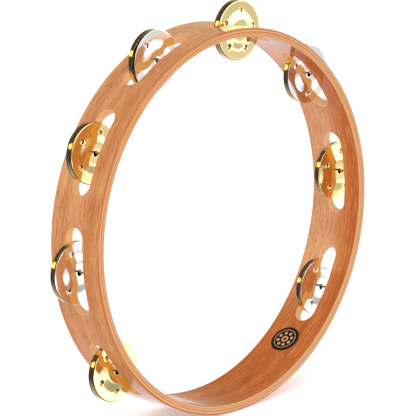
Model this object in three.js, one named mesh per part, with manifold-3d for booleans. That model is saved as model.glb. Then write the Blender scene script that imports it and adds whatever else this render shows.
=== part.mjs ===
// A headless hand-held tambourine: a bent wooden hoop with one row of eight slots, and a steel pin
// across each slot that carries a pair of jingles, one brass and one steel.
// Millimetres, +Z up. The hoop stands on its bottom facet at Z = 0, its axis lies along Y,
// its front edge faces -Y, and its bare grip section is at the bottom.

import * as THREE from "three";
import { mergeVertices } from "three/addons/utils/BufferGeometryUtils.js";
import Module from "manifold-3d";

const wasm = await Module();
wasm.setup();

// ---- Driving dimensions ----

const CLEARANCE = 0.3; // between a piece and the one it touches

const HOOP_OUTER_RADIUS = 127; // a 10 inch hoop
const HOOP_WALL = 5.8;
const HOOP_WIDTH = 42.2;
const HOOP_EDGE_CHAMFER = 0.8;
const HOOP_FACETS = 96;

const SLOT_LENGTH = 56;
const SLOT_WIDTH = 14;
const SLOT_END_SEGMENTS = 8;

const PIN_RADIUS = 0.8;
const PIN_FRONT_EMBED = 6; // how far the pin reaches into the front wall
const PIN_REAR_SINK = 0.2; // how far its head sits below the rear edge
const PIN_SEGMENTS = 12;

const JINGLE_RADIUS = 19.8;
const JINGLE_THICKNESS = 0.8;
const JINGLE_HOLE_RADIUS = 1.9;
const JINGLE_FLANGE_RADIUS = 13.6; // where the flat flange starts
const JINGLE_BOSS_RADIUS = 7;
const JINGLE_BOSS_HEIGHT = 1.2; // how far the boss stands proud of the flange
const JINGLE_CORNER_RADIUS = 0.5;
const JINGLE_SEGMENTS = 20;
const RIM_DEPTH = { brass: 3.7, steel: 0.9 }; // from the flange's face to the rim's free edge

const BADGE_RADIUS = 10.25;
const BADGE_THICKNESS = 0.5;
const BADGE_ANGLE = -53.7;
const BADGE_OFFSET = 2; // from mid-width towards the rear edge
const BADGE_SEGMENTS = 32;

// One row for each slot, going round anticlockwise as seen from the front.
// angle: degrees from +X towards +Z. front: the metal of the front jingle.
// seam: where the pair's rims meet, from mid-width towards the rear edge. gap: between the rims.
// tilt: degrees that the front jingle leans about the vertical.
const SLOTS = [
  { angle: -32, front: "steel", seam: 1.3, gap: CLEARANCE, tilt: 0 },
  { angle: 6, front: "brass", seam: 4, gap: CLEARANCE, tilt: 0 },
  { angle: 43, front: "steel", seam: 1.3, gap: CLEARANCE, tilt: 0 },
  { angle: 80, front: "brass", seam: 2.9, gap: CLEARANCE, tilt: 0 },
  { angle: 116, front: "steel", seam: 0.9, gap: 1.1, tilt: 2 },
  { angle: 151, front: "brass", seam: 3.8, gap: CLEARANCE, tilt: 0 },
  { angle: 186, front: "steel", seam: 1, gap: CLEARANCE, tilt: 0 },
  { angle: 222.5, front: "brass", seam: 4, gap: CLEARANCE, tilt: 0 },
];

// ---- Derived dimensions ----

const HALF_WIDTH = HOOP_WIDTH / 2;
const HOOP_INNER_RADIUS = HOOP_OUTER_RADIUS - HOOP_WALL;
const FACET_ANGLE = (2 * Math.PI) / HOOP_FACETS;
const HOOP_CENTRE_Z = HOOP_OUTER_RADIUS * Math.cos(FACET_ANGLE / 2);
const PIN_CIRCLE_RADIUS = HOOP_OUTER_RADIUS - HOOP_WALL / 2;
const PIN_FRONT_Y = -SLOT_WIDTH / 2 - PIN_FRONT_EMBED;
const PIN_REAR_Y = HALF_WIDTH - PIN_REAR_SINK;
const JINGLE_DROP = JINGLE_HOLE_RADIUS - PIN_RADIUS - CLEARANCE; // its centre hangs this far below the pin

const MATERIALS = {
  wood: new THREE.MeshStandardMaterial({ color: 0xc67f4f, roughness: 0.35, metalness: 0 }),
  brass: new THREE.MeshStandardMaterial({ color: 0xe3bd5c, roughness: 0.15, metalness: 1 }),
  steel: new THREE.MeshStandardMaterial({ color: 0xcfcdc8, roughness: 0.15, metalness: 1 }),
  badge: new THREE.MeshStandardMaterial({ color: 0x18181a, roughness: 0.4, metalness: 0 }),
};

// ---- Solids ----

function solidFrom(geometry) {
  const bare = geometry.clone();
  bare.deleteAttribute("normal");
  bare.deleteAttribute("uv");
  const merged = mergeVertices(bare, 1e-4);
  return new wasm.Manifold(
    new wasm.Mesh({
      numProp: 3,
      vertProperties: merged.attributes.position.array,
      triVerts: new Uint32Array(merged.index.array),
    }),
  );
}

function geometryFrom(solid) {
  const { vertProperties, triVerts } = solid.getMesh();
  const geometry = new THREE.BufferGeometry();
  geometry.setAttribute("position", new THREE.BufferAttribute(new Float32Array(vertProperties), 3));
  geometry.setIndex(new THREE.BufferAttribute(new Uint32Array(triVerts), 1));
  geometry.computeVertexNormals();
  return geometry;
}

// A placement on the hoop at an angle: X runs tangentially, Y along the hoop's axis
// and Z outwards along the radius, with the origin on the hoop's axis.
function radialPlacement(degrees) {
  const angle = THREE.MathUtils.degToRad(degrees);
  const outwards = new THREE.Vector3(Math.cos(angle), 0, Math.sin(angle));
  const axial = new THREE.Vector3(0, 1, 0);
  const tangential = new THREE.Vector3().crossVectors(axial, outwards);
  return new THREE.Matrix4().makeBasis(tangential, axial, outwards);
}

function pinCentre(degrees) {
  const angle = THREE.MathUtils.degToRad(degrees);
  return new THREE.Vector3(Math.cos(angle), 0, Math.sin(angle)).multiplyScalar(PIN_CIRCLE_RADIUS);
}

// A ring about Y with a facet centred at the bottom, from a closed cross-section of radius and Y.
function ringGeometry(section) {
  const outline = section.map(([radius, y]) => new THREE.Vector2(radius, y));
  return new THREE.LatheGeometry([...outline, outline[0]], HOOP_FACETS, FACET_ANGLE / 2);
}

// ---- Hoop ----

function hoopBlank() {
  const inner = HOOP_INNER_RADIUS;
  const outer = HOOP_OUTER_RADIUS;
  const edge = HALF_WIDTH;
  const chamfer = HOOP_EDGE_CHAMFER;
  return ringGeometry([
    [inner + chamfer, -edge],
    [outer - chamfer, -edge],
    [outer, -edge + chamfer],
    [outer, edge - chamfer],
    [outer - chamfer, edge],
    [inner + chamfer, edge],
    [inner, edge - chamfer],
    [inner, -edge + chamfer],
  ]);
}

function slotCutter(degrees) {
  const end = SLOT_WIDTH / 2;
  const straight = SLOT_LENGTH / 2 - end;
  const outline = new THREE.Shape();
  outline.absarc(straight, 0, end, -Math.PI / 2, Math.PI / 2);
  outline.absarc(-straight, 0, end, Math.PI / 2, (3 * Math.PI) / 2);
  const cutter = new THREE.ExtrudeGeometry(outline, {
    depth: HOOP_WALL * 4,
    bevelEnabled: false,
    curveSegments: SLOT_END_SEGMENTS,
  });
  cutter.translate(0, 0, PIN_CIRCLE_RADIUS - HOOP_WALL * 2);
  return cutter.applyMatrix4(radialPlacement(degrees));
}

// A blind bore from the rear edge across the slot into the front wall.
function pinBore(degrees) {
  const front = PIN_FRONT_Y - CLEARANCE;
  const rear = HALF_WIDTH + 1;
  const bore = new THREE.CylinderGeometry(
    PIN_RADIUS + CLEARANCE,
    PIN_RADIUS + CLEARANCE,
    rear - front,
    PIN_SEGMENTS,
  );
  const centre = pinCentre(degrees);
  return bore.translate(centre.x, (front + rear) / 2, centre.z);
}

function hoopGeometry() {
  let hoop = solidFrom(hoopBlank());
  for (const { angle } of SLOTS) {
    hoop = hoop.subtract(solidFrom(slotCutter(angle)));
    hoop = hoop.subtract(solidFrom(pinBore(angle)));
  }
  return geometryFrom(hoop);
}

// ---- Badge: a thin disc bent to the inside of the hoop ----

function badgeGeometry() {
  const outer = HOOP_INNER_RADIUS - CLEARANCE;
  const inner = outer - BADGE_THICKNESS;
  const top = BADGE_OFFSET + BADGE_RADIUS + 1;
  const bottom = BADGE_OFFSET - BADGE_RADIUS - 1;
  const band = ringGeometry([
    [inner, bottom],
    [outer, bottom],
    [outer, top],
    [inner, top],
  ]);
  const punch = new THREE.CylinderGeometry(BADGE_RADIUS, BADGE_RADIUS, HOOP_WALL * 2, BADGE_SEGMENTS);
  punch.rotateX(Math.PI / 2);
  punch.translate(0, BADGE_OFFSET, HOOP_INNER_RADIUS);
  punch.applyMatrix4(radialPlacement(BADGE_ANGLE));
  return geometryFrom(solidFrom(band).intersect(solidFrom(punch)));
}

// ---- Pins and jingles ----

function pinGeometry() {
  return new THREE.CylinderGeometry(PIN_RADIUS, PIN_RADIUS, PIN_REAR_Y - PIN_FRONT_Y, PIN_SEGMENTS);
}

// A pressed disc about Y with its boss towards -Y and its flange's face at Y = 0.
function jingleGeometry(metal) {
  const sheet = JINGLE_THICKNESS;
  const depth = RIM_DEPTH[metal];
  const rim = JINGLE_RADIUS;
  const corner = JINGLE_CORNER_RADIUS;
  const boss = JINGLE_BOSS_RADIUS;
  const flange = JINGLE_FLANGE_RADIUS;
  const hole = JINGLE_HOLE_RADIUS;
  const crown = -JINGLE_BOSS_HEIGHT;
  const section = [
    [hole, crown + sheet],
    [hole, crown],
    [boss, crown],
    [flange, 0],
    [rim - corner, 0],
    [rim, corner],
    [rim, depth],
    [rim - sheet, depth],
    [rim - sheet - corner / 2, sheet],
    [flange, sheet],
    [boss, crown + sheet],
  ].map(([radius, y]) => new THREE.Vector2(radius, y));
  return new THREE.LatheGeometry([...section, section[0]], JINGLE_SEGMENTS);
}

const JINGLE_GEOMETRY = { brass: jingleGeometry("brass"), steel: jingleGeometry("steel") };

function namedMesh(name, geometry, material) {
  const mesh = new THREE.Mesh(geometry, MATERIALS[material].clone());
  mesh.name = name;
  return mesh;
}

function pinMesh(number, { angle }) {
  const pin = namedMesh(`pin_${number}`, pinGeometry(), "steel");
  pin.position.copy(pinCentre(angle));
  pin.position.y = (PIN_FRONT_Y + PIN_REAR_Y) / 2;
  return pin;
}

// The rims face each other across the seam, so the rear jingle is turned half round.
function jingleMesh(number, slot, place) {
  const rear = slot.front === "brass" ? "steel" : "brass";
  const metal = place === "front" ? slot.front : rear;
  const side = place === "front" ? -1 : 1;
  const jingle = namedMesh(`${metal}_jingle_${number}`, JINGLE_GEOMETRY[metal], metal);
  jingle.position.copy(pinCentre(slot.angle));
  jingle.position.z -= JINGLE_DROP;
  jingle.position.y = slot.seam + side * (slot.gap / 2 + RIM_DEPTH[metal]);
  jingle.rotation.z = place === "front" ? THREE.MathUtils.degToRad(slot.tilt) : Math.PI;
  return jingle;
}

// ---- Assembly ----

const group = new THREE.Group();
group.position.z = HOOP_CENTRE_Z;

group.add(namedMesh("hoop", hoopGeometry(), "wood"));
group.add(namedMesh("badge", badgeGeometry(), "badge"));
SLOTS.forEach((slot, index) => {
  const number = index + 1;
  group.add(pinMesh(number, slot));
  group.add(jingleMesh(number, slot, "front"));
  group.add(jingleMesh(number, slot, "rear"));
});

export default group;
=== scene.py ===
"""A headless hand-held tambourine: a bent wooden hoop with eight slots, and a steel pin across
each slot that carries a brass and a steel jingle. Every piece is placed from the CAD frame."""

import math
import random

import bmesh
import bpy
from mathutils import Matrix, Vector


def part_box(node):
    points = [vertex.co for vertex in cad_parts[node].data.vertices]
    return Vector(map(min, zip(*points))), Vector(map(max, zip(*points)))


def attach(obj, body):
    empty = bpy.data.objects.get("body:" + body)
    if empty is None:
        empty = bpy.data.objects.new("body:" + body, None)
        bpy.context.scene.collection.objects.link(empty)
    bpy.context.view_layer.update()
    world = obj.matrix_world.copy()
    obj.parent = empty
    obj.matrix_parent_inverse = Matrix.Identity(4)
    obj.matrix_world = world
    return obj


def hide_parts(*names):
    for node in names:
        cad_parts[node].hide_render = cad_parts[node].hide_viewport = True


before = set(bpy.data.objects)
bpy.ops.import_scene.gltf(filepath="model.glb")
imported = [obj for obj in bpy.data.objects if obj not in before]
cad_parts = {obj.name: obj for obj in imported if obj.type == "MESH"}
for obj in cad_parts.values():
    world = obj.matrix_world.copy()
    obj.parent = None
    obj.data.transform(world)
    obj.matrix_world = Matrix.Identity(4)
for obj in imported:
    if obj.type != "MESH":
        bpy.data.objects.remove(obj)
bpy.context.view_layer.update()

MM = 0.001
SLOT_COUNT = 8

# ---- The hoop's measures, in metres ----

WALL = 5.8 * MM
SLOT_LENGTH = 56 * MM
SLOT_WIDTH = 14 * MM
HOOP_EASE = 0.9 * MM  # radius on the hoop's long edges
SLOT_EASE = 0.6 * MM  # radius on the slots' edges
SECTOR_HALF_ANGLE = math.radians(15.9)  # the part of the mesh that surrounds one slot
STRAIGHT_STEPS = 22
QUARTER_STEPS = 12  # an even number: half of it lies on each side of a corner
RING_FRACTIONS = (0.0, 0.03, 0.1, 0.24, 0.45, 0.72, 0.955, 1.0)
GAP_STEP = math.radians(1.0)
EASE_STEPS = 4
CORNER_CUT = 0.3  # how far a small rounded corner's middle point lies from both sides, in radii
INNER_SEAM = math.radians(300)  # where each face veneer's two ends meet
OUTER_SEAM = math.radians(285)

# ---- The jingles' measures ----

JINGLE_RADIUS = 19.8 * MM
SHEET = 0.8 * MM
HOLE_RADIUS = 1.9 * MM
BOSS_HEIGHT = 1.2 * MM  # how far the boss stands proud of the flange's inner edge
DISH = 0.1 * MM  # how far the flange falls back from its inner edge to the rim
DEEPER_DISHES = {2: 0.82 * MM}  # the front jingle pressed with more of a fall, by slot
BOSS_END = 6.3 * MM  # where the boss starts to fall away
FLANGE_START = 14.1 * MM
BEND_WIDTH = 2.3 * MM  # the length over which the slope builds up and dies away
CORNER = {"brass": 0.85 * MM, "steel": 0.4 * MM}  # where the flange turns into the rim
RIM_DEPTH = {"brass": 3.7 * MM, "steel": 0.9 * MM}
LIP = 0.25 * MM  # radius on the rim's free edge
RIM_FILLET = 0.15 * MM  # inside the rim, where it meets the flange
HOLE_EASE = 0.22 * MM
INNER_STEP = 0.4 * MM  # from the rim's inner wall to the rear skin's first ring
DIMPLED_BAND = (11.8 * MM, 15.2 * MM)  # the radii between which the mesh is finest
DIMPLE_CIRCLE = 13.5 * MM
DIMPLE_RADIUS = 1.9 * MM
DIMPLE_DEPTH = 1.05 * MM
DIMPLE_SPAN = 1.5  # how far a dimple and its lip reach from its middle, in dimple radii
DIMPLE_LIP, LIP_PLACE, LIP_SPREAD, LIP_END = 0.1 * MM, 1.1, 0.17, 1.45  # places in dimple radii
DIMPLES = {"brass": 5, "steel": 3}
WAVINESS = 0.006 * MM  # how far the pressed sheet wanders from true

# The direction of each front jingle's first dimple, in degrees from +X towards +Z, by slot.
FIRST_DIMPLE = {1: 110, 2: 10, 3: 150, 4: 10, 5: 129, 6: -5, 7: 112, 8: 57}
REAR_SPIN_STEP = 37  # degrees from one rear jingle's first dimple to the next one's
FRONT_METAL = {n: "steel" if n % 2 else "brass" for n in range(1, SLOT_COUNT + 1)}
LEANING_SLOT, LEAN = 5, math.radians(2)  # the one front jingle that leans on its pin

# ---- Pins and badge ----

PIN_SIDES = 24
PIN_POINT = (0.35, 2.5)  # the pointed end's radius and length, in pin radii
PIN_HEAD_RADIUS = 1.05 * MM
PIN_HEAD_DEPTH = 0.7 * MM
PIN_SHOULDER = 1.25  # how far down the head's taper into the shank ends, in head depths
PIN_NECK = 1.6 * MM  # from the head's face to the evenly divided shank
PIN_DOME = ((1, 0.2 * MM), (0.9, 0.06 * MM), (0.55, 0.015 * MM), (0.2, 0))  # (share of radius, drop)
BADGE_THICKNESS = 0.5 * MM
BADGE_EASE = 0.2 * MM
BADGE_BEDDING = 0.02 * MM  # how far it sinks into the lacquer
EMBLEM_HEIGHT = 0.07 * MM
EMBLEM_BEDDING = 0.05 * MM
HUB_RING = (2.5 * MM, 1.2 * MM)  # outer and inner radius
OUTER_RING = (8.1 * MM, 7.6 * MM)
DOTS, DOT_CIRCLE, DOT_RADIUS = 8, 5.1 * MM, 1.25 * MM

hoop_low, hoop_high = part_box("hoop")
HOOP_CENTRE = (hoop_low + hoop_high) / 2
HALF_WIDTH = (hoop_high.y - hoop_low.y) / 2
OUTER_RADIUS = (hoop_high.x - hoop_low.x) / 2
INNER_RADIUS = OUTER_RADIUS - WALL


def box_centre(node):
    low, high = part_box(node)
    return (low + high) / 2


def slot_angle(number):
    centre = box_centre(f"pin_{number}") - HOOP_CENTRE
    return math.atan2(centre.z, centre.x)


SLOT_ANGLES = {n: slot_angle(n) for n in range(1, SLOT_COUNT + 1)}


# ---- Mesh helpers ----


def hoop_point(angle, y, radius):
    return Vector((radius * math.cos(angle), y, radius * math.sin(angle))) + HOOP_CENTRE


def add_strip(mesh, rows, closed=False, material=0):
    """Quads between neighbouring rows of points; closed also joins each row's end to its start."""
    made = [[mesh.verts.new(p) for p in row] for row in rows]
    for above, below in zip(made, made[1:]):
        count = len(above)
        for i in range(count if closed else count - 1):
            j = (i + 1) % count
            face = mesh.faces.new((above[i], above[j], below[j], below[i]))
            face.material_index = material
            face.smooth = True


def finish_mesh(mesh, name, merge=1e-6):
    bmesh.ops.remove_doubles(mesh, verts=mesh.verts, dist=merge)
    bmesh.ops.recalc_face_normals(mesh, faces=mesh.faces)
    data = bpy.data.meshes.new(name)
    mesh.to_mesh(data)
    mesh.free()
    return data


def add_piece(name, data, body, node, materials):
    piece = bpy.data.objects.new(name, data)
    bpy.context.scene.collection.objects.link(piece)
    for material in materials:
        data.materials.append(material)
    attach(piece, body)
    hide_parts(node)
    return piece


def weight_normals(piece):
    modifier = piece.modifiers.new("weighted_normals", "WEIGHTED_NORMAL")
    modifier.mode = "FACE_AREA"
    modifier.weight = 50


# ---- Hoop ----


def stadium(expand):
    """The slot's outline as (tangential, axial) points, clockwise from its top left."""
    end = SLOT_WIDTH / 2 + expand
    straight = (SLOT_LENGTH - SLOT_WIDTH) / 2
    points = [(-straight + 2 * straight * i / STRAIGHT_STEPS, end) for i in range(STRAIGHT_STEPS)]
    half_turn = 2 * QUARTER_STEPS
    for i in range(half_turn):
        a = math.pi / 2 - math.pi * i / half_turn
        points.append((straight + end * math.cos(a), end * math.sin(a)))
    return points + [(-x, -y) for x, y in points]


def sector_border():
    """The border round one slot's part of the mesh, as (angle, axial) points that match stadium()."""
    flat = HALF_WIDTH - HOOP_EASE
    straight = (SLOT_LENGTH - SLOT_WIDTH) / 2 / OUTER_RADIUS
    corner = QUARTER_STEPS // 2
    points = [(-straight + 2 * straight * i / STRAIGHT_STEPS, flat) for i in range(STRAIGHT_STEPS)]
    for i in range(2 * QUARTER_STEPS):
        if i < corner:
            points.append((straight + (SECTOR_HALF_ANGLE - straight) * i / corner, flat))
        elif i <= 3 * corner:
            points.append((SECTOR_HALF_ANGLE, flat * (1 - (i - corner) / corner)))
        else:
            rest = (4 * corner - i) / corner
            points.append((straight + (SECTOR_HALF_ANGLE - straight) * rest, -flat))
    return points + [(-x, -y) for x, y in points]


def wall_angle(tangential, radius):
    """The slots are cut straight through, so a wall's angle depends on the radius."""
    return math.asin(tangential / radius)


def add_sector(mesh, centre, radius):
    inner, outer = stadium(SLOT_EASE), sector_border()
    rows = []
    for share in RING_FRACTIONS:
        row = []
        for (t, y_in), (angle_out, y_out) in zip(inner, outer):
            angle_in = wall_angle(t, radius)
            angle = angle_in + (angle_out - angle_in) * share
            row.append(hoop_point(centre + angle, y_in + (y_out - y_in) * share, radius))
        rows.append(row)
    add_strip(mesh, rows, closed=True)


def eased_path(first, last, ease, steps):
    """(inset, depth) pairs that round both corners of a wall between two surfaces."""
    path = []
    for i in range(EASE_STEPS + 1):
        a = math.pi / 2 * i / EASE_STEPS
        path.append((ease * (1 - math.sin(a)), first - ease * (1 - math.cos(a))))
    top, bottom = first - ease, last + ease
    path += [(0, top + (bottom - top) * i / steps) for i in range(1, steps)]
    for i in range(EASE_STEPS + 1):
        a = math.pi / 2 * i / EASE_STEPS
        path.append((ease * (1 - math.cos(a)), last + ease * (1 - math.sin(a))))
    return path


def add_slot_wall(mesh, centre):
    rows = []
    for expand, radius in eased_path(OUTER_RADIUS, INNER_RADIUS, SLOT_EASE, 5):
        rows.append([hoop_point(centre + wall_angle(t, radius), y, radius) for t, y in stadium(expand)])
    add_strip(mesh, rows, closed=True, material=2)


def gap_angles():
    """For each stretch between two slots, the angles of its mesh columns."""
    gaps = []
    order = sorted(SLOT_ANGLES.values())
    for here, following in zip(order, order[1:] + [order[0] + 2 * math.pi]):
        start, end = here + SECTOR_HALF_ANGLE, following - SECTOR_HALF_ANGLE
        steps = max(2, round((end - start) / GAP_STEP))
        gaps.append([start + (end - start) * i / steps for i in range(steps + 1)])
    return gaps


def side_heights():
    flat = HALF_WIDTH - HOOP_EASE
    rows = QUARTER_STEPS // 2
    return [flat * (1 - i / rows) for i in range(2 * rows + 1)]


def add_gaps(mesh, radius):
    for angles in gap_angles():
        add_strip(mesh, [[hoop_point(a, y, radius) for a in angles] for y in side_heights()])


def edge_columns():
    flat = HALF_WIDTH - HOOP_EASE
    columns = [a for angles in gap_angles() for a in angles[:-1]]
    top = sorted({round(x, 9) for x, y in sector_border() if y > flat * 0.9999})
    for centre in SLOT_ANGLES.values():
        columns += [centre + x for x in top[:-1]]
    return sorted(a % (2 * math.pi) for a in columns)


def add_edge(mesh, side):
    rows = []
    for inset, radius in eased_path(OUTER_RADIUS, INNER_RADIUS, HOOP_EASE, 6):
        y = side * (HALF_WIDTH - inset)
        rows.append([hoop_point(a, y, radius) for a in edge_columns()])
    add_strip(mesh, rows, closed=True, material=1)


def add_grain(data):
    """Stores each corner's place in the veneer: along the hoop, across it, and its radius."""
    grain = data.attributes.new("grain", "FLOAT_VECTOR", "CORNER")
    middle = (OUTER_RADIUS + INNER_RADIUS) / 2
    for polygon in data.polygons:
        centre = polygon.center - HOOP_CENTRE
        outside = math.hypot(centre.x, centre.z) > middle
        seam = OUTER_SEAM if outside else INNER_SEAM
        face_angle = (math.atan2(centre.z, centre.x) - seam) % (2 * math.pi)
        for loop in polygon.loop_indices:
            place = data.vertices[data.loops[loop].vertex_index].co - HOOP_CENTRE
            angle = (math.atan2(place.z, place.x) - seam) % (2 * math.pi)
            if angle - face_angle > math.pi:
                angle -= 2 * math.pi
            elif face_angle - angle > math.pi:
                angle += 2 * math.pi
            radius = math.hypot(place.x, place.z)
            grain.data[loop].vector = (angle * OUTER_RADIUS, place.y, radius)


def make_hoop(materials):
    mesh = bmesh.new()
    for radius in (OUTER_RADIUS, INNER_RADIUS):
        add_gaps(mesh, radius)
        for centre in SLOT_ANGLES.values():
            add_sector(mesh, centre, radius)
    for centre in SLOT_ANGLES.values():
        add_slot_wall(mesh, centre)
    for side in (-1, 1):
        add_edge(mesh, side)
    data = finish_mesh(mesh, "wooden_hoop", 2e-6)
    add_grain(data)
    piece = add_piece("wooden_hoop", data, "hoop", "hoop", materials)
    weight_normals(piece)


# ---- Jingles ----


def press_height(radius, dish):
    """How far the front skin lies from the flange's inner edge, towards -Y, at a radius."""
    bend = BEND_WIDTH
    reach = FLANGE_START - BOSS_END
    dish_slope = dish / (JINGLE_RADIUS - FLANGE_START)
    steepest = (BOSS_HEIGHT - dish_slope * bend / 2) / (reach - bend)
    x = radius - BOSS_END
    if x <= 0:
        return -BOSS_HEIGHT
    if x < bend:
        return -BOSS_HEIGHT + steepest * x * x / (2 * bend)
    if x < reach - bend:
        return -BOSS_HEIGHT + steepest * (x - bend / 2)
    if x < reach:
        rest = reach - x
        return -dish_slope * rest - (steepest - dish_slope) * rest * rest / (2 * bend)
    return dish_slope * (x - reach)


def steps_between(start, end, count):
    return [start + (end - start) * i / count for i in range(1, count + 1)]


def rim_back(metal, dish):
    """(radius, y) points from the rim's free edge back to the sheet; a shallow rim has no inner wall."""
    inner, depth = JINGLE_RADIUS - SHEET, RIM_DEPTH[metal]
    seat = press_height(inner, dish) + SHEET
    if depth < seat + LIP + RIM_FILLET:
        return []
    cut = LIP * CORNER_CUT
    points = [(inner + LIP, depth), (inner + cut, depth - cut), (inner, depth - LIP)]
    return points + [(inner, seat + RIM_FILLET), (inner - RIM_FILLET, seat)]


def jingle_section(metal, dish):
    """(radius, y) points of the front skin, round the rim, and back along the rear skin."""
    crown, depth, rim, corner = -BOSS_HEIGHT, RIM_DEPTH[metal], JINGLE_RADIUS, CORNER[metal]
    band_in, band_out = DIMPLED_BAND
    hole_edge = HOLE_RADIUS + HOLE_EASE
    front = [(HOLE_RADIUS, crown + SHEET / 2), (HOLE_RADIUS, crown + HOLE_EASE)]
    front += [(HOLE_RADIUS + HOLE_EASE * CORNER_CUT, crown + HOLE_EASE * CORNER_CUT), (hole_edge, crown)]
    radii = steps_between(hole_edge, BOSS_END, 4) + steps_between(BOSS_END, band_in, 10)
    radii += steps_between(band_in, band_out, 13) + steps_between(band_out, rim - corner, 3)
    front += [(r, press_height(r, dish)) for r in radii]
    shoulder = press_height(rim - corner, dish)
    for i in range(1, 6):
        a = math.pi / 2 * i / 5
        drop = shoulder + (corner - shoulder) * (1 - math.cos(a))
        front.append((rim - corner * (1 - math.sin(a)), drop))
    front += [(rim, depth - LIP), (rim - LIP * CORNER_CUT, depth - LIP * CORNER_CUT), (rim - LIP, depth)]
    back = rim_back(metal, dish)
    start = rim - SHEET - INNER_STEP
    radii = [start] + steps_between(start, band_out, 2) + steps_between(band_out, band_in, 9)
    radii += steps_between(band_in, BOSS_END, 5) + steps_between(BOSS_END, hole_edge, 2)
    back += [(r, press_height(r, dish) + SHEET) for r in radii]
    back += [(HOLE_RADIUS, crown + SHEET - HOLE_EASE)]
    return front, back


def dimple_columns(count):
    """Angles round a jingle, close together at its dimples."""
    half = DIMPLE_RADIUS * DIMPLE_SPAN / DIMPLE_CIRCLE
    pitch = 2 * math.pi / count
    rest = max(6, round((pitch - 2 * half) / math.radians(4.2)))
    angles = []
    for i in range(count):
        middle = i * pitch
        angles += [middle + half * (j / 8 - 1) for j in range(16)]
        start = middle + half
        angles += [start + (pitch - 2 * half) * j / rest for j in range(rest)]
    return angles


def dimple_push(radius, angle, count):
    """How far a dimple presses the sheet inwards, with a slight lip round it."""
    pitch = 2 * math.pi / count
    off = (angle + pitch / 2) % pitch - pitch / 2
    distance = math.hypot(radius - DIMPLE_CIRCLE * math.cos(off), DIMPLE_CIRCLE * math.sin(off))
    x = distance / DIMPLE_RADIUS
    if x >= LIP_END:
        return 0.0
    bowl = DIMPLE_DEPTH * (1 - x * x) ** 2 if x < 1 else 0.0
    lip = DIMPLE_LIP * math.exp(-(((x - LIP_PLACE) / LIP_SPREAD) ** 2))
    return bowl - lip


def wander(radius, angle, phases):
    """A slow waviness of the pressed sheet, from three waves with seeded phases."""
    share = radius / JINGLE_RADIUS
    height = 0.0
    for turns, phase in zip((2, 3, 5), phases):
        height += math.sin(turns * angle + phase + 2.3 * share) / turns
    return WAVINESS * height * share


def jingle_mesh(name, metal, dish, seed):
    """A pressed disc about Y with its boss towards -Y and its flange's face at Y = 0."""
    count = DIMPLES[metal]
    chance = random.Random(seed)
    phases = [chance.uniform(0, 2 * math.pi) for _ in range(3)]
    front, back = jingle_section(metal, dish)
    rows = []
    for radius, y in front + back + [front[0]]:
        row = []
        for angle in dimple_columns(count):
            push = 0.0
            if radius < JINGLE_RADIUS - CORNER[metal]:
                push = dimple_push(radius, angle, count) + wander(radius, angle, phases)
            row.append(Vector((radius * math.cos(angle), y + push, radius * math.sin(angle))))
        rows.append(row)
    mesh = bmesh.new()
    add_strip(mesh, rows, closed=True)
    return finish_mesh(mesh, name)


def middle_without_dimples(data, turn):
    """The middle of the turned disc's bounds; the CAD's disc, which gives its place, has no dimples."""
    plain = [turn @ v.co for v in data.vertices
             if abs(math.hypot(v.co.x, v.co.z) - DIMPLE_CIRCLE) > DIMPLE_SPAN * DIMPLE_RADIUS]
    spans = [[point[i] for point in plain] for i in range(3)]
    return Vector([(min(span) + max(span)) / 2 for span in spans])


def make_jingle(number, metal, material):
    node = f"{metal}_jingle_{number}"
    front = FRONT_METAL[number] == metal
    dish = DEEPER_DISHES.get(number, DISH) if front else DISH
    data = jingle_mesh(f"pressed_{node}", metal, dish, number * 7 + len(metal) + front)
    if front:
        turn = Matrix.Rotation(LEAN if number == LEANING_SLOT else 0, 4, "Z")
        spin = math.radians(FIRST_DIMPLE[number])
    else:
        turn = Matrix.Rotation(math.pi, 4, "Z")
        spin = math.radians(REAR_SPIN_STEP * number)
    turn = turn @ Matrix.Rotation(-spin, 4, "Y")
    middle = middle_without_dimples(data, turn)
    data.transform(turn)
    piece = add_piece(f"pressed_{node}", data, node, node, [material])
    piece.location = box_centre(node) - middle
    piece.visible_diffuse = False  # a polished disc sends light on to the wood, and doesn't shade it
    weight_normals(piece)


# ---- Pins ----


def make_pin(number, material):
    low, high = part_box(f"pin_{number}")
    middle = (low + high) / 2
    radius = (high.x - low.x) / 2
    head = PIN_HEAD_RADIUS
    tip, point_end = radius * PIN_POINT[0], low.y + radius * PIN_POINT[1]
    section = [(0, low.y), (tip, low.y), (radius, point_end)]
    section += [(radius, y) for y in steps_between(point_end, high.y - PIN_NECK, 6)]
    section += [(radius, high.y - PIN_HEAD_DEPTH * PIN_SHOULDER), (head, high.y - PIN_HEAD_DEPTH)]
    section += [(head * share, high.y - drop) for share, drop in PIN_DOME] + [(0, high.y)]
    rows = []
    for r, y in section:
        turns = [2 * math.pi * i / PIN_SIDES for i in range(PIN_SIDES)]
        rows.append([Vector((r * math.cos(a), y - middle.y, r * math.sin(a))) for a in turns])
    mesh = bmesh.new()
    add_strip(mesh, rows, closed=True)
    bmesh.ops.dissolve_degenerate(mesh, edges=mesh.edges, dist=1e-7)
    data = finish_mesh(mesh, f"drawn_pin_{number}")
    piece = add_piece(f"drawn_pin_{number}", data, "hoop", f"pin_{number}", [material])
    piece.location = middle
    weight_normals(piece)


# ---- Badge ----


def badge_point(angle, middle_y, u, v, height):
    """A point of the badge: u runs along the hoop, v across it, height stands off the wood."""
    return hoop_point(angle + u / INNER_RADIUS, middle_y + v, INNER_RADIUS - height)


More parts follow.
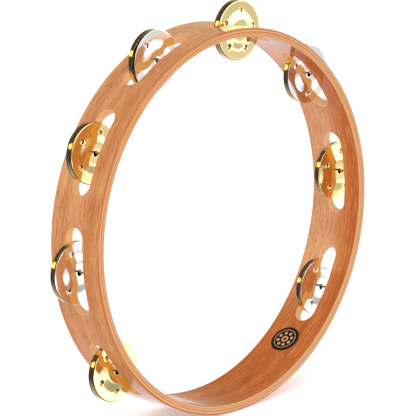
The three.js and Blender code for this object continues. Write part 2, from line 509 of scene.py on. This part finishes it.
def add_disc(mesh, place, centre, radius, low, high, material, hole=0.0, sides=48):
    """A thin disc or ring with an eased top edge, laid on the inside of the hoop."""
    ease = min(BADGE_EASE, (high - low) / 2)
    path = [(radius, low), (radius, high - ease), (radius - ease * CORNER_CUT, high - ease * CORNER_CUT)]
    path += [(radius - ease, high)]
    inner = hole + ease if hole else 0.0
    rings = 8
    path += [(radius - ease + (inner - radius + ease) * i / rings, high) for i in range(1, rings + 1)]
    path += [(hole, high - ease), (hole, low)] if hole else []
    path += [(path[-1][0] + (radius - path[-1][0]) * i / rings, low) for i in range(1, rings + 1)]
    rows = []
    for r, height in path:
        turns = [2 * math.pi * i / sides for i in range(sides)]
        spots = [(centre[0] + r * math.cos(a), centre[1] + r * math.sin(a)) for a in turns]
        rows.append([badge_point(*place, u, v, height) for u, v in spots])
    add_strip(mesh, rows, closed=True, material=material)


def make_badge(materials):
    low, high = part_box("badge")
    middle = (low + high) / 2
    offset = middle - HOOP_CENTRE
    place = (math.atan2(offset.z, offset.x), middle.y)
    radius = (high.y - low.y) / 2
    mesh = bmesh.new()
    add_disc(mesh, place, (0, 0), radius, -BADGE_BEDDING, BADGE_THICKNESS, 0, sides=72)
    top = BADGE_THICKNESS + EMBLEM_HEIGHT
    foot = BADGE_THICKNESS - EMBLEM_BEDDING
    add_disc(mesh, place, (0, 0), HUB_RING[0], foot, top, 1, hole=HUB_RING[1])
    for i in range(DOTS):
        a = 2 * math.pi * (i + 0.5) / DOTS
        centre = (DOT_CIRCLE * math.cos(a), DOT_CIRCLE * math.sin(a))
        add_disc(mesh, place, centre, DOT_RADIUS, foot, top, 1, sides=24)
    add_disc(mesh, place, (0, 0), OUTER_RING[0], foot, top, 1, hole=OUTER_RING[1], sides=72)
    bmesh.ops.remove_doubles(mesh, verts=mesh.verts, dist=1e-7)
    bmesh.ops.dissolve_degenerate(mesh, edges=mesh.edges, dist=1e-8)
    data = finish_mesh(mesh, "round_badge", 1e-7)
    piece = add_piece("round_badge", data, "hoop", "badge", materials)
    weight_normals(piece)


# ---- Material helpers ----

MIX_SHARE, MIX_A, MIX_B, MIX_RESULT = 0, 6, 7, 2  # the Mix node's sockets for colours


class Nodes:
    """Builds a node tree: add() makes a node, sets its values and links its inputs."""

    def __init__(self, tree):
        self.tree = tree
        tree.nodes.clear()

    def add(self, kind, inputs=None, **settings):
        made = self.tree.nodes.new(kind)
        for key, value in settings.items():
            setattr(made, key, value)
        for key, value in (inputs or {}).items():
            self.give(made.inputs[key], value)
        return made

    def give(self, socket, value):
        if isinstance(value, bpy.types.NodeSocket):
            self.tree.links.new(value, socket)
        else:
            socket.default_value = value

    def math(self, operation, a, b=0.0):
        return self.add("ShaderNodeMath", {0: a, 1: b}, operation=operation).outputs[0]

    def scaled(self, vector, scale):
        return self.add("ShaderNodeVectorMath", {0: vector, 1: scale}, operation="MULTIPLY").outputs[0]

    def noise(self, vector, detail=2.0, roughness=0.5):
        values = {"Vector": vector, "Scale": 1.0, "Detail": detail, "Roughness": roughness}
        return self.add("ShaderNodeTexNoise", values).outputs["Fac"]

    def remap(self, value, low, high, to_low=0.0, to_high=1.0, kind="SMOOTHSTEP"):
        values = {"Value": value, "From Min": low, "From Max": high}
        values.update({"To Min": to_low, "To Max": to_high})
        return self.add("ShaderNodeMapRange", values, interpolation_type=kind).outputs["Result"]

    def ramp(self, value, stops):
        made = self.add("ShaderNodeValToRGB", {"Fac": value})
        elements = made.color_ramp.elements
        while len(elements) < len(stops):
            elements.new(0.5)
        for element, (place, colour) in zip(elements, stops):
            element.position = place
            element.color = (*colour, 1)
        return made.outputs["Color"]

    def mix(self, share, a, b):
        """A blend of two colours, each of them a socket or (red, green, blue)."""
        made = self.add("ShaderNodeMix", data_type="RGBA")
        self.give(made.inputs[MIX_SHARE], share)
        for key, colour in ((MIX_A, a), (MIX_B, b)):
            self.give(made.inputs[key], colour if isinstance(colour, bpy.types.NodeSocket) else (*colour, 1))
        return made.outputs[MIX_RESULT]


def new_material(name):
    material = bpy.data.materials.new(name)
    material.use_nodes = True
    nodes = Nodes(material.node_tree)
    shader = nodes.add("ShaderNodeBsdfPrincipled")
    nodes.add("ShaderNodeOutputMaterial", {"Surface": shader.outputs[0]})
    return material, nodes, shader


def bump(nodes, height, strength, distance):
    values = {"Height": height, "Strength": strength, "Distance": distance}
    return nodes.add("ShaderNodeBump", values).outputs[0]


# ---- Wood ----

# Waves to the metre along the grain and across it.
SWAY_WAVES, TONE_WAVES = (9, 60, 0), (8, 130, 0)
STREAK_WAVES, PORE_WAVES = (70, 1000, 0), (210, 1900, 0)
LACQUER_WAVES = (60, 140, 0)
FIGURE_SHIFT = (1.7, 0.629, 0)  # metres; picks the stretch of the noise that the veneer shows
SWAY = 4 * MM  # how far the grain wanders across the veneer


def wood_figure(nodes, grain):
    """The veneer's figure: tone, streaks and pores, each from 0 to 1."""
    place = nodes.add("ShaderNodeVectorMath", {0: grain, 1: FIGURE_SHIFT}, operation="ADD").outputs[0]
    sway = nodes.noise(nodes.scaled(place, SWAY_WAVES), detail=2)
    wave = nodes.add("ShaderNodeCombineXYZ", {"Y": nodes.math("MULTIPLY", sway, SWAY)}).outputs[0]
    place = nodes.add("ShaderNodeVectorMath", {0: place, 1: wave}, operation="ADD").outputs[0]
    tone = nodes.noise(nodes.scaled(place, TONE_WAVES), detail=4, roughness=0.6)
    streaks = nodes.noise(nodes.scaled(place, STREAK_WAVES), detail=3, roughness=0.65)
    pores = nodes.noise(nodes.scaled(place, PORE_WAVES), detail=2, roughness=0.5)
    return tone, streaks, pores


# Deep, middle and light tones of the two face veneers, and where each falls in the figure's tone.
# The inner veneer's tones are darker and redder than the outer's: painted shade of the hoop's inside.
OUTER_VENEER = ((0.485, 0.190, 0.072), (0.565, 0.245, 0.104), (0.645, 0.310, 0.152))
SHADED_INNER_VENEER = ((0.40, 0.095, 0.019), (0.475, 0.126, 0.027), (0.545, 0.168, 0.042))
TONE_PLACES = (0.34, 0.5, 0.66)
STREAK, STREAK_SHARE = (0.31, 0.075, 0.018), 0.55
PALE_FIBRE, FIBRE_SHARE = (0.74, 0.36, 0.15), 0.35
FLECK, FLECK_SHARE = (0.15, 0.035, 0.010), 0.6

# The colours that the veneers drift towards, by how much, and where: degrees round the hoop at which
# the drift starts, is full, fades and ends, or the Y at which it starts and is full. The inner one's pale
# pink is a painted sheen, the outer one's paler top is painted light from above, and the outer one also
# turns darker and redder towards the front edge.
INNER_PAINTED_SHEEN, INNER_PAINTED_SHEEN_SHARE = (0.67, 0.335, 0.172), 0.85
OUTER_PAINTED_TOP_LIGHT, OUTER_TOP_LIGHT_SHARE = (0.72, 0.40, 0.200), 0.55
OUTER_FRONT, OUTER_FRONT_SHARE = (0.46, 0.150, 0.038), 0.4
INNER_SHEEN_STRETCH, OUTER_TOP_LIGHT_STRETCH = (-48, -25, 50, 75), (78, 92, 104, 122)
INNER_SHEEN_BAND, OUTER_FRONT_BAND = (-14 * MM, 4 * MM), (2 * MM, -14 * MM)


def stretch(nodes, along, seam, degrees):
    """1 along one part of the hoop; the grain's length is measured from the veneer's seam."""
    start, full, fading, end = (((math.radians(a) - seam) % (2 * math.pi)) * OUTER_RADIUS for a in degrees)
    return nodes.math("MULTIPLY", nodes.remap(along, start, full), nodes.remap(along, end, fading))


def veneer_base(nodes, parts, outside, tone):
    """The two face veneers' colour, with the painted sheen inside and painted light on the outside's top,
    before the streaks and flecks.
    """
    inner, outer = (nodes.ramp(tone, tuple(zip(TONE_PLACES, veneer)))
                    for veneer in (SHADED_INNER_VENEER, OUTER_VENEER))
    # Painted sheen: over one stretch of the hoop the inside's rear part turns pale pink, as if the lacquer
    # reflected bright surroundings.
    side = stretch(nodes, parts["X"], INNER_SEAM, INNER_SHEEN_STRETCH)
    rear = nodes.math("MULTIPLY", nodes.remap(parts["Y"], *INNER_SHEEN_BAND), side)
    inner = nodes.mix(nodes.math("MULTIPLY", rear, INNER_PAINTED_SHEEN_SHARE), inner, INNER_PAINTED_SHEEN)
    front = nodes.remap(parts["Y"], *OUTER_FRONT_BAND)
    outer = nodes.mix(nodes.math("MULTIPLY", front, OUTER_FRONT_SHARE), outer, OUTER_FRONT)
    # Painted light: the outside's top turns paler, as if lit from above.
    top = stretch(nodes, parts["X"], OUTER_SEAM, OUTER_TOP_LIGHT_STRETCH)
    outer = nodes.mix(nodes.math("MULTIPLY", top, OUTER_TOP_LIGHT_SHARE), outer, OUTER_PAINTED_TOP_LIGHT)
    return nodes.mix(outside, inner, outer)


def veneer_material():
    material, nodes, shader = new_material("lacquered_veneer")
    grain = nodes.add("ShaderNodeAttribute", attribute_name="grain").outputs["Vector"]
    parts = nodes.add("ShaderNodeSeparateXYZ", {"Vector": grain}).outputs
    outside = nodes.math("GREATER_THAN", parts["Z"], (OUTER_RADIUS + INNER_RADIUS) / 2)
    tone, streaks, pores = wood_figure(nodes, grain)
    base = veneer_base(nodes, parts, outside, tone)
    dark = nodes.remap(streaks, 0.50, 0.66)
    light = nodes.remap(streaks, 0.48, 0.32)
    colour = nodes.mix(nodes.math("MULTIPLY", dark, STREAK_SHARE), base, STREAK)
    colour = nodes.mix(nodes.math("MULTIPLY", light, FIBRE_SHARE), colour, PALE_FIBRE)
    pits = nodes.remap(pores, 0.60, 0.68)
    colour = nodes.mix(nodes.math("MULTIPLY", pits, FLECK_SHARE), colour, FLECK)
    nodes.give(shader.inputs["Base Color"], colour)
    nodes.give(shader.inputs["Roughness"], nodes.remap(streaks, 0.3, 0.7, 0.42, 0.56, "LINEAR"))
    relief = nodes.math("SUBTRACT", nodes.math("MULTIPLY", streaks, 0.5), pits)
    nodes.give(shader.inputs["Normal"], bump(nodes, relief, 0.35, 0.00006))
    ripple = nodes.noise(nodes.scaled(grain, LACQUER_WAVES), detail=1)
    lacquer = nodes.math("ADD", ripple, nodes.math("MULTIPLY", streaks, 0.25))
    nodes.give(shader.inputs["Coat Normal"], bump(nodes, lacquer, 0.3, 0.00012))
    shader.inputs["Specular IOR Level"].default_value = 0.0
    shader.inputs["Coat Weight"].default_value = 1.0
    shader.inputs["Coat Roughness"].default_value = 0.12
    shader.inputs["Coat IOR"].default_value = 1.45
    return material


PALE_PLY = (0.66, 0.37, 0.170)
LIGHT_PLY = (0.58, 0.275, 0.108)
DARK_PLY = (0.46, 0.150, 0.038)
# The plies' colours across the hoop's wall, from its inside at 0 to its outside at 1.
PLY_STOPS = (
    (0.0, DARK_PLY), (0.05, PALE_PLY), (0.12, PALE_PLY), (0.17, DARK_PLY), (0.24, LIGHT_PLY),
    (0.44, LIGHT_PLY), (0.50, DARK_PLY), (0.58, DARK_PLY), (0.63, PALE_PLY), (0.76, LIGHT_PLY),
    (0.82, DARK_PLY), (1.0, DARK_PLY),
)
SANDED_PLY, SANDED_SHARE = (0.80, 0.50, 0.25), 0.6
# Painted bounce light: a warm orange for the slot wall's front side, standing in for light bounced between
# the wood.
BOUNCE_LIGHT_PLY = (0.74, 0.34, 0.085)
DARK_FIBRE, PALE_END_GRAIN = (0.42, 0.15, 0.05), (0.72, 0.40, 0.18)
PLY_SWAY = 0.035  # how far a glue line wanders, as a share of the wall
GLUE_WAVES, FIBRE_WAVES, PATCH_WAVES = (14, 0, 0), (160, 900, 2600), (35, 220, 500)
BOUNCE_LIGHT_FROM, BOUNCE_LIGHT_FULL = -4 * MM, -6.5 * MM  # along Y, in the slot


def ply_material(name, slot):
    """The laminate's cut edges; the wall of a slot is paler, and its front side is painted a brighter orange
    that stands in for warm light bounced between the wood.
    """
    material, nodes, shader = new_material(name)
    grain = nodes.add("ShaderNodeAttribute", attribute_name="grain").outputs["Vector"]
    parts = nodes.add("ShaderNodeSeparateXYZ", {"Vector": grain}).outputs
    sway = nodes.noise(nodes.scaled(grain, GLUE_WAVES), detail=2)
    share = nodes.remap(parts["Z"], INNER_RADIUS, OUTER_RADIUS, 0, 1, "LINEAR")
    share = nodes.math("ADD", share, nodes.remap(sway, 0, 1, -PLY_SWAY, PLY_SWAY, "LINEAR"))
    colour = nodes.ramp(share, PLY_STOPS)
    if slot:
        colour = nodes.mix(SANDED_SHARE, colour, SANDED_PLY)
        # Painted bounce light on the front side of the slot wall.
        painted_bounce = nodes.remap(parts["Y"], BOUNCE_LIGHT_FROM, BOUNCE_LIGHT_FULL)
        colour = nodes.mix(painted_bounce, colour, BOUNCE_LIGHT_PLY)
    fibres = nodes.noise(nodes.scaled(grain, FIBRE_WAVES), detail=3, roughness=0.6)
    colour = nodes.mix(nodes.remap(fibres, 0.52, 0.75, 0, 0.35), colour, DARK_FIBRE)
    pale = nodes.noise(nodes.scaled(grain, PATCH_WAVES), detail=2)
    colour = nodes.mix(nodes.remap(pale, 0.5, 0.75, 0, 0.3), colour, PALE_END_GRAIN)
    nodes.give(shader.inputs["Base Color"], colour)
    nodes.give(shader.inputs["Roughness"], nodes.remap(fibres, 0.3, 0.7, 0.45, 0.6, "LINEAR"))
    nodes.give(shader.inputs["Normal"], bump(nodes, fibres, 0.4, 0.0001))
    shader.inputs["Specular IOR Level"].default_value = 0.0
    shader.inputs["Coat Weight"].default_value = 0.6
    shader.inputs["Coat Roughness"].default_value = 0.2
    return material


# ---- Metals ----

TURNED_LINES = (4200, 1800, 0)  # to the metre, outwards and along the axis
CLOUDS = (110, 110, 110)
TARNISH_SHARE = 0.55
LEAST_WEAR, MOST_WEAR = 0.8, 1.7  # times the roughness
BRASS, DULL_BRASS, BRASS_ROUGHNESS = (0.92, 0.735, 0.33), (0.81, 0.60, 0.22), 0.07
STEEL, DULL_STEEL, STEEL_ROUGHNESS = (0.93, 0.90, 0.82), (0.82, 0.78, 0.70), 0.06
WIRE, DULL_WIRE, WIRE_ROUGHNESS = (0.92, 0.90, 0.86), (0.66, 0.62, 0.56), 0.28


def metal_material(name, clean, dull, roughness):
    """Polished metal with fine turned lines, clouds of tarnish and an uneven polish."""
    material, nodes, shader = new_material(name)
    place = nodes.add("ShaderNodeTexCoord").outputs["Object"]
    parts = nodes.add("ShaderNodeSeparateXYZ", {"Vector": place}).outputs
    across = nodes.math("ADD", nodes.math("MULTIPLY", parts["X"], parts["X"]),
                        nodes.math("MULTIPLY", parts["Z"], parts["Z"]))
    radius = nodes.math("SQRT", across)
    lines = nodes.add("ShaderNodeCombineXYZ", {"X": radius, "Y": parts["Y"]}).outputs[0]
    turned = nodes.noise(nodes.scaled(lines, TURNED_LINES), detail=2)
    cloud = nodes.noise(nodes.scaled(place, CLOUDS), detail=4, roughness=0.6)
    tarnish = nodes.remap(cloud, 0.48, 0.78)
    colour = nodes.mix(nodes.math("MULTIPLY", tarnish, TARNISH_SHARE), clean, dull)
    nodes.give(shader.inputs["Base Color"], colour)
    shader.inputs["Metallic"].default_value = 1.0
    worn = nodes.remap(cloud, 0.3, 0.75, roughness * LEAST_WEAR, roughness * MOST_WEAR, "LINEAR")
    nodes.give(shader.inputs["Roughness"], worn)
    nodes.give(shader.inputs["Normal"], bump(nodes, turned, 0.12, 0.00002))
    return material


# ---- Badge finishes ----

ENAMEL = ((0.3, (0.006, 0.006, 0.007)), (0.7, (0.016, 0.016, 0.018)))
INK = ((0.3, (0.52, 0.25, 0.10)), (0.7, (0.66, 0.35, 0.16)))


def badge_material():
    material, nodes, shader = new_material("black_enamel")
    place = nodes.add("ShaderNodeTexCoord").outputs["Object"]
    speck = nodes.noise(nodes.scaled(place, (900, 900, 900)), detail=3)
    smear = nodes.noise(nodes.scaled(place, (150, 150, 150)), detail=3)
    nodes.give(shader.inputs["Base Color"], nodes.ramp(speck, ENAMEL))
    nodes.give(shader.inputs["Roughness"], nodes.remap(smear, 0.3, 0.7, 0.3, 0.5, "LINEAR"))
    shader.inputs["Specular IOR Level"].default_value = 0.25
    nodes.give(shader.inputs["Normal"], bump(nodes, speck, 0.15, 0.00003))
    return material


def ink_material():
    material, nodes, shader = new_material("tan_ink")
    place = nodes.add("ShaderNodeTexCoord").outputs["Object"]
    speck = nodes.noise(nodes.scaled(place, (1600, 1600, 1600)), detail=3)
    nodes.give(shader.inputs["Base Color"], nodes.ramp(speck, INK))
    nodes.give(shader.inputs["Roughness"], nodes.remap(speck, 0.3, 0.7, 0.4, 0.6, "LINEAR"))
    nodes.give(shader.inputs["Normal"], bump(nodes, speck, 0.2, 0.00003))
    return material


# ---- Floor, light and camera ----

FLOOR_HALF = 6.0
FLOOR_TONES = ((0.3, (0.85,) * 3), (0.7, (0.87,) * 3))
FLOOR_GLOW = 0.32
FLOOR_DROP = 0.2 * MM  # keeps the floor from sharing a plane with the hoop's lowest edge


def make_floor():
    material, nodes, shader = new_material("pale_floor")
    place = nodes.add("ShaderNodeTexCoord").outputs["Object"]
    mottle = nodes.noise(nodes.scaled(place, (8, 8, 8)), detail=3)
    nodes.give(shader.inputs["Base Color"], nodes.ramp(mottle, FLOOR_TONES))
    shader.inputs["Roughness"].default_value = 0.9
    shader.inputs["Specular IOR Level"].default_value = 0.0
    shader.inputs["Emission Color"].default_value = (1, 1, 1, 1)
    shader.inputs["Emission Strength"].default_value = FLOOR_GLOW
    mesh = bmesh.new()
    bmesh.ops.create_grid(mesh, x_segments=8, y_segments=8, size=FLOOR_HALF)
    data = bpy.data.meshes.new("floor")
    mesh.to_mesh(data)
    mesh.free()
    data.materials.append(material)
    floor = bpy.data.objects.new("floor", data)
    floor.location = (0, 0, -FLOOR_DROP)
    floor.visible_glossy = False  # glossy rays meet gloss_surroundings() instead
    bpy.context.scene.collection.objects.link(floor)


# What glossy rays meet, by their direction. Each level is a (place, brightness) pair: the front and
# the wall are placed by Z, and the low rear by X. The other values are (red, green, blue) or directions.
FRONT_LEVELS = ((-1.0, 0.08), (-0.66, 0.10), (-0.56, 0.45), (-0.44, 0.62), (-0.40, 0.75), (-0.365, 2.3),
                (-0.27, 2.3), (-0.23, 1.15), (-0.2, 0.86), (-0.1, 0.72), (-0.05, 0.75), (-0.01, 2.2),
                (0.03, 2.6), (0.5, 2.3), (0.62, 0.12), (1.0, 0.08))
REAR_LEVELS = ((-1.0, 0.03), (-0.62, 0.06), (-0.45, 0.25), (-0.2, 0.42), (0.1, 0.55), (0.3, 0.8),
               (0.45, 1.05), (1.0, 1.1))
WALL_LEVELS = ((-1.0, 0.5), (0.15, 0.5), (0.32, 0.25), (1.0, 0.12))
BRIGHTEST = 3.0  # above every level
WALL_TINT = (1.25, 1.0, 0.62)
DARK_ROOM = (0.09, 0.058, 0.05)
DARK_FRONT = (0.10, 0.08, 0.06)
RIGHT_SOFTBOX = (2.4, 2.4, 2.3)
COOL_LIGHT = (0.98, 1.0, 1.09)
DAYLIGHT = (1.05, 1.05, 1.05)  # what every other ray meets
SUNLIT_WINDOW = (1.7, 1.5, 0.5)
GLINT_DIRECTION = Vector((-0.66, 0.67, 0.31))
GLINT_SPREAD = Vector((0.13, 0.13, 0.15))

# Where each part of the surroundings begins and is full.
SOFTBOX_SIDE, SOFTBOX_FOOT = (0.80, 0.90), (-0.5, -0.4)
DARK_SIDE = (-0.1, -0.3)
HORIZON = (-0.06, 0.04)
WALL_SIDE = (0.42, 0.6)
FRONT_HALF = (0.12, -0.12)
WINDOW_EDGE = (1.1, 0.75)  # in spreads from its middle


def levels(nodes, value, table):
    """A grey brightness that follows the table as the value goes from -1 to 1."""
    stops = tuple(((x + 1) / 2, (level / BRIGHTEST,) * 3) for x, level in table)
    share = nodes.remap(value, -1, 1, 0, 1, "LINEAR")
    return nodes.scaled(nodes.ramp(share, stops), (BRIGHTEST,) * 3)


def gloss_front(nodes, parts):
    """A grey table with a bright strip, soft boxes above it and on the right, and darkness on the left."""
    light = levels(nodes, parts["Z"], FRONT_LEVELS)
    side, above = nodes.remap(parts["X"], *SOFTBOX_SIDE), nodes.remap(parts["Z"], *SOFTBOX_FOOT)
    light = nodes.mix(nodes.math("MULTIPLY", side, above), light, RIGHT_SOFTBOX)
    return nodes.mix(nodes.remap(parts["X"], *DARK_SIDE), light, DARK_FRONT)


def gloss_rear(nodes, parts, look):
    """A floor that brightens to the right, and above it a dark room, a tan wall and one bright window."""
    light = levels(nodes, parts["X"], REAR_LEVELS)
    wall = nodes.scaled(levels(nodes, parts["Z"], WALL_LEVELS), WALL_TINT)
    room = nodes.mix(nodes.remap(parts["X"], *WALL_SIDE), DARK_ROOM, wall)
    light = nodes.mix(nodes.remap(parts["Z"], *HORIZON), light, room)
    offset = nodes.add("ShaderNodeVectorMath", {0: look, 1: GLINT_DIRECTION}, operation="SUBTRACT")
    spread = [1 / x for x in GLINT_SPREAD]
    away = nodes.add("ShaderNodeVectorMath", {0: nodes.scaled(offset.outputs[0], spread)},
                     operation="LENGTH").outputs["Value"]
    return nodes.mix(nodes.remap(away, *WINDOW_EDGE), light, SUNLIT_WINDOW)


def gloss_surroundings(nodes, look):
    """The front and rear surroundings, joined across Y = 0."""
    parts = nodes.add("ShaderNodeSeparateXYZ", {"Vector": look}).outputs
    rear = gloss_rear(nodes, parts, look)
    light = nodes.mix(nodes.remap(parts["Y"], *FRONT_HALF), rear, gloss_front(nodes, parts))
    return nodes.scaled(light, COOL_LIGHT)


def make_world():
    world = bpy.data.worlds.new("studio")
    world.use_nodes = True
    nodes = Nodes(world.node_tree)
    look = nodes.add("ShaderNodeTexCoord").outputs["Generated"]
    glossy = nodes.add("ShaderNodeLightPath").outputs["Is Glossy Ray"]
    colour = nodes.mix(glossy, DAYLIGHT, gloss_surroundings(nodes, look))
    background = nodes.add("ShaderNodeBackground", {"Color": colour, "Strength": 1.0})
    nodes.add("ShaderNodeOutputWorld", {"Surface": background.outputs[0]})
    bpy.context.scene.world = world


KEY_PLACE = Vector((-1.2, -1.0, 1.4))  # from the hoop's centre
KEY_SIDE, KEY_POWER = 1.0, 10
CAMERA_PLACE = Vector((-1.1551, -1.0911, 0.37457))  # from the hoop's centre
CAMERA_TARGET = Vector((-0.00215, 0.0044, 0.00637))  # from the hoop's centre
SENSOR, LENS = 36, 216.3  # the camera's own millimetres


def aim(thing, place, target):
    """Puts a light or the camera at a place, both from the hoop's centre, facing the target."""
    thing.location = HOOP_CENTRE + place
    sight = HOOP_CENTRE + target - thing.location
    thing.rotation_euler = sight.to_track_quat("-Z", "Y").to_euler()
    bpy.context.scene.collection.objects.link(thing)


def make_key_light():
    light = bpy.data.lights.new("key", "AREA")
    light.size = KEY_SIDE
    light.energy = KEY_POWER
    lamp = bpy.data.objects.new("key", light)
    lamp.visible_glossy = False
    aim(lamp, KEY_PLACE, Vector())


def make_camera():
    camera = bpy.data.objects.new("camera", bpy.data.cameras.new("camera"))
    camera.data.sensor_width = SENSOR
    camera.data.lens = LENS
    camera.data.clip_start, camera.data.clip_end = 0.05, 30
    aim(camera, CAMERA_PLACE, CAMERA_TARGET)
    bpy.context.scene.camera = camera


# ---- Assembly ----


def build():
    make_hoop([veneer_material(), ply_material("laminated_edge", False), ply_material("slot_wall", True)])
    finishes = {
        "brass": metal_material("polished_brass", BRASS, DULL_BRASS, BRASS_ROUGHNESS),
        "steel": metal_material("polished_steel", STEEL, DULL_STEEL, STEEL_ROUGHNESS),
    }
    wire = metal_material("drawn_wire", WIRE, DULL_WIRE, WIRE_ROUGHNESS)
    for number in SLOT_ANGLES:
        make_pin(number, wire)
        for metal, finish in finishes.items():
            make_jingle(number, metal, finish)
    make_badge([badge_material(), ink_material()])
    make_floor()
    make_world()
    make_key_light()
    make_camera()
    bpy.context.scene.view_settings.view_transform = "Standard"


build()
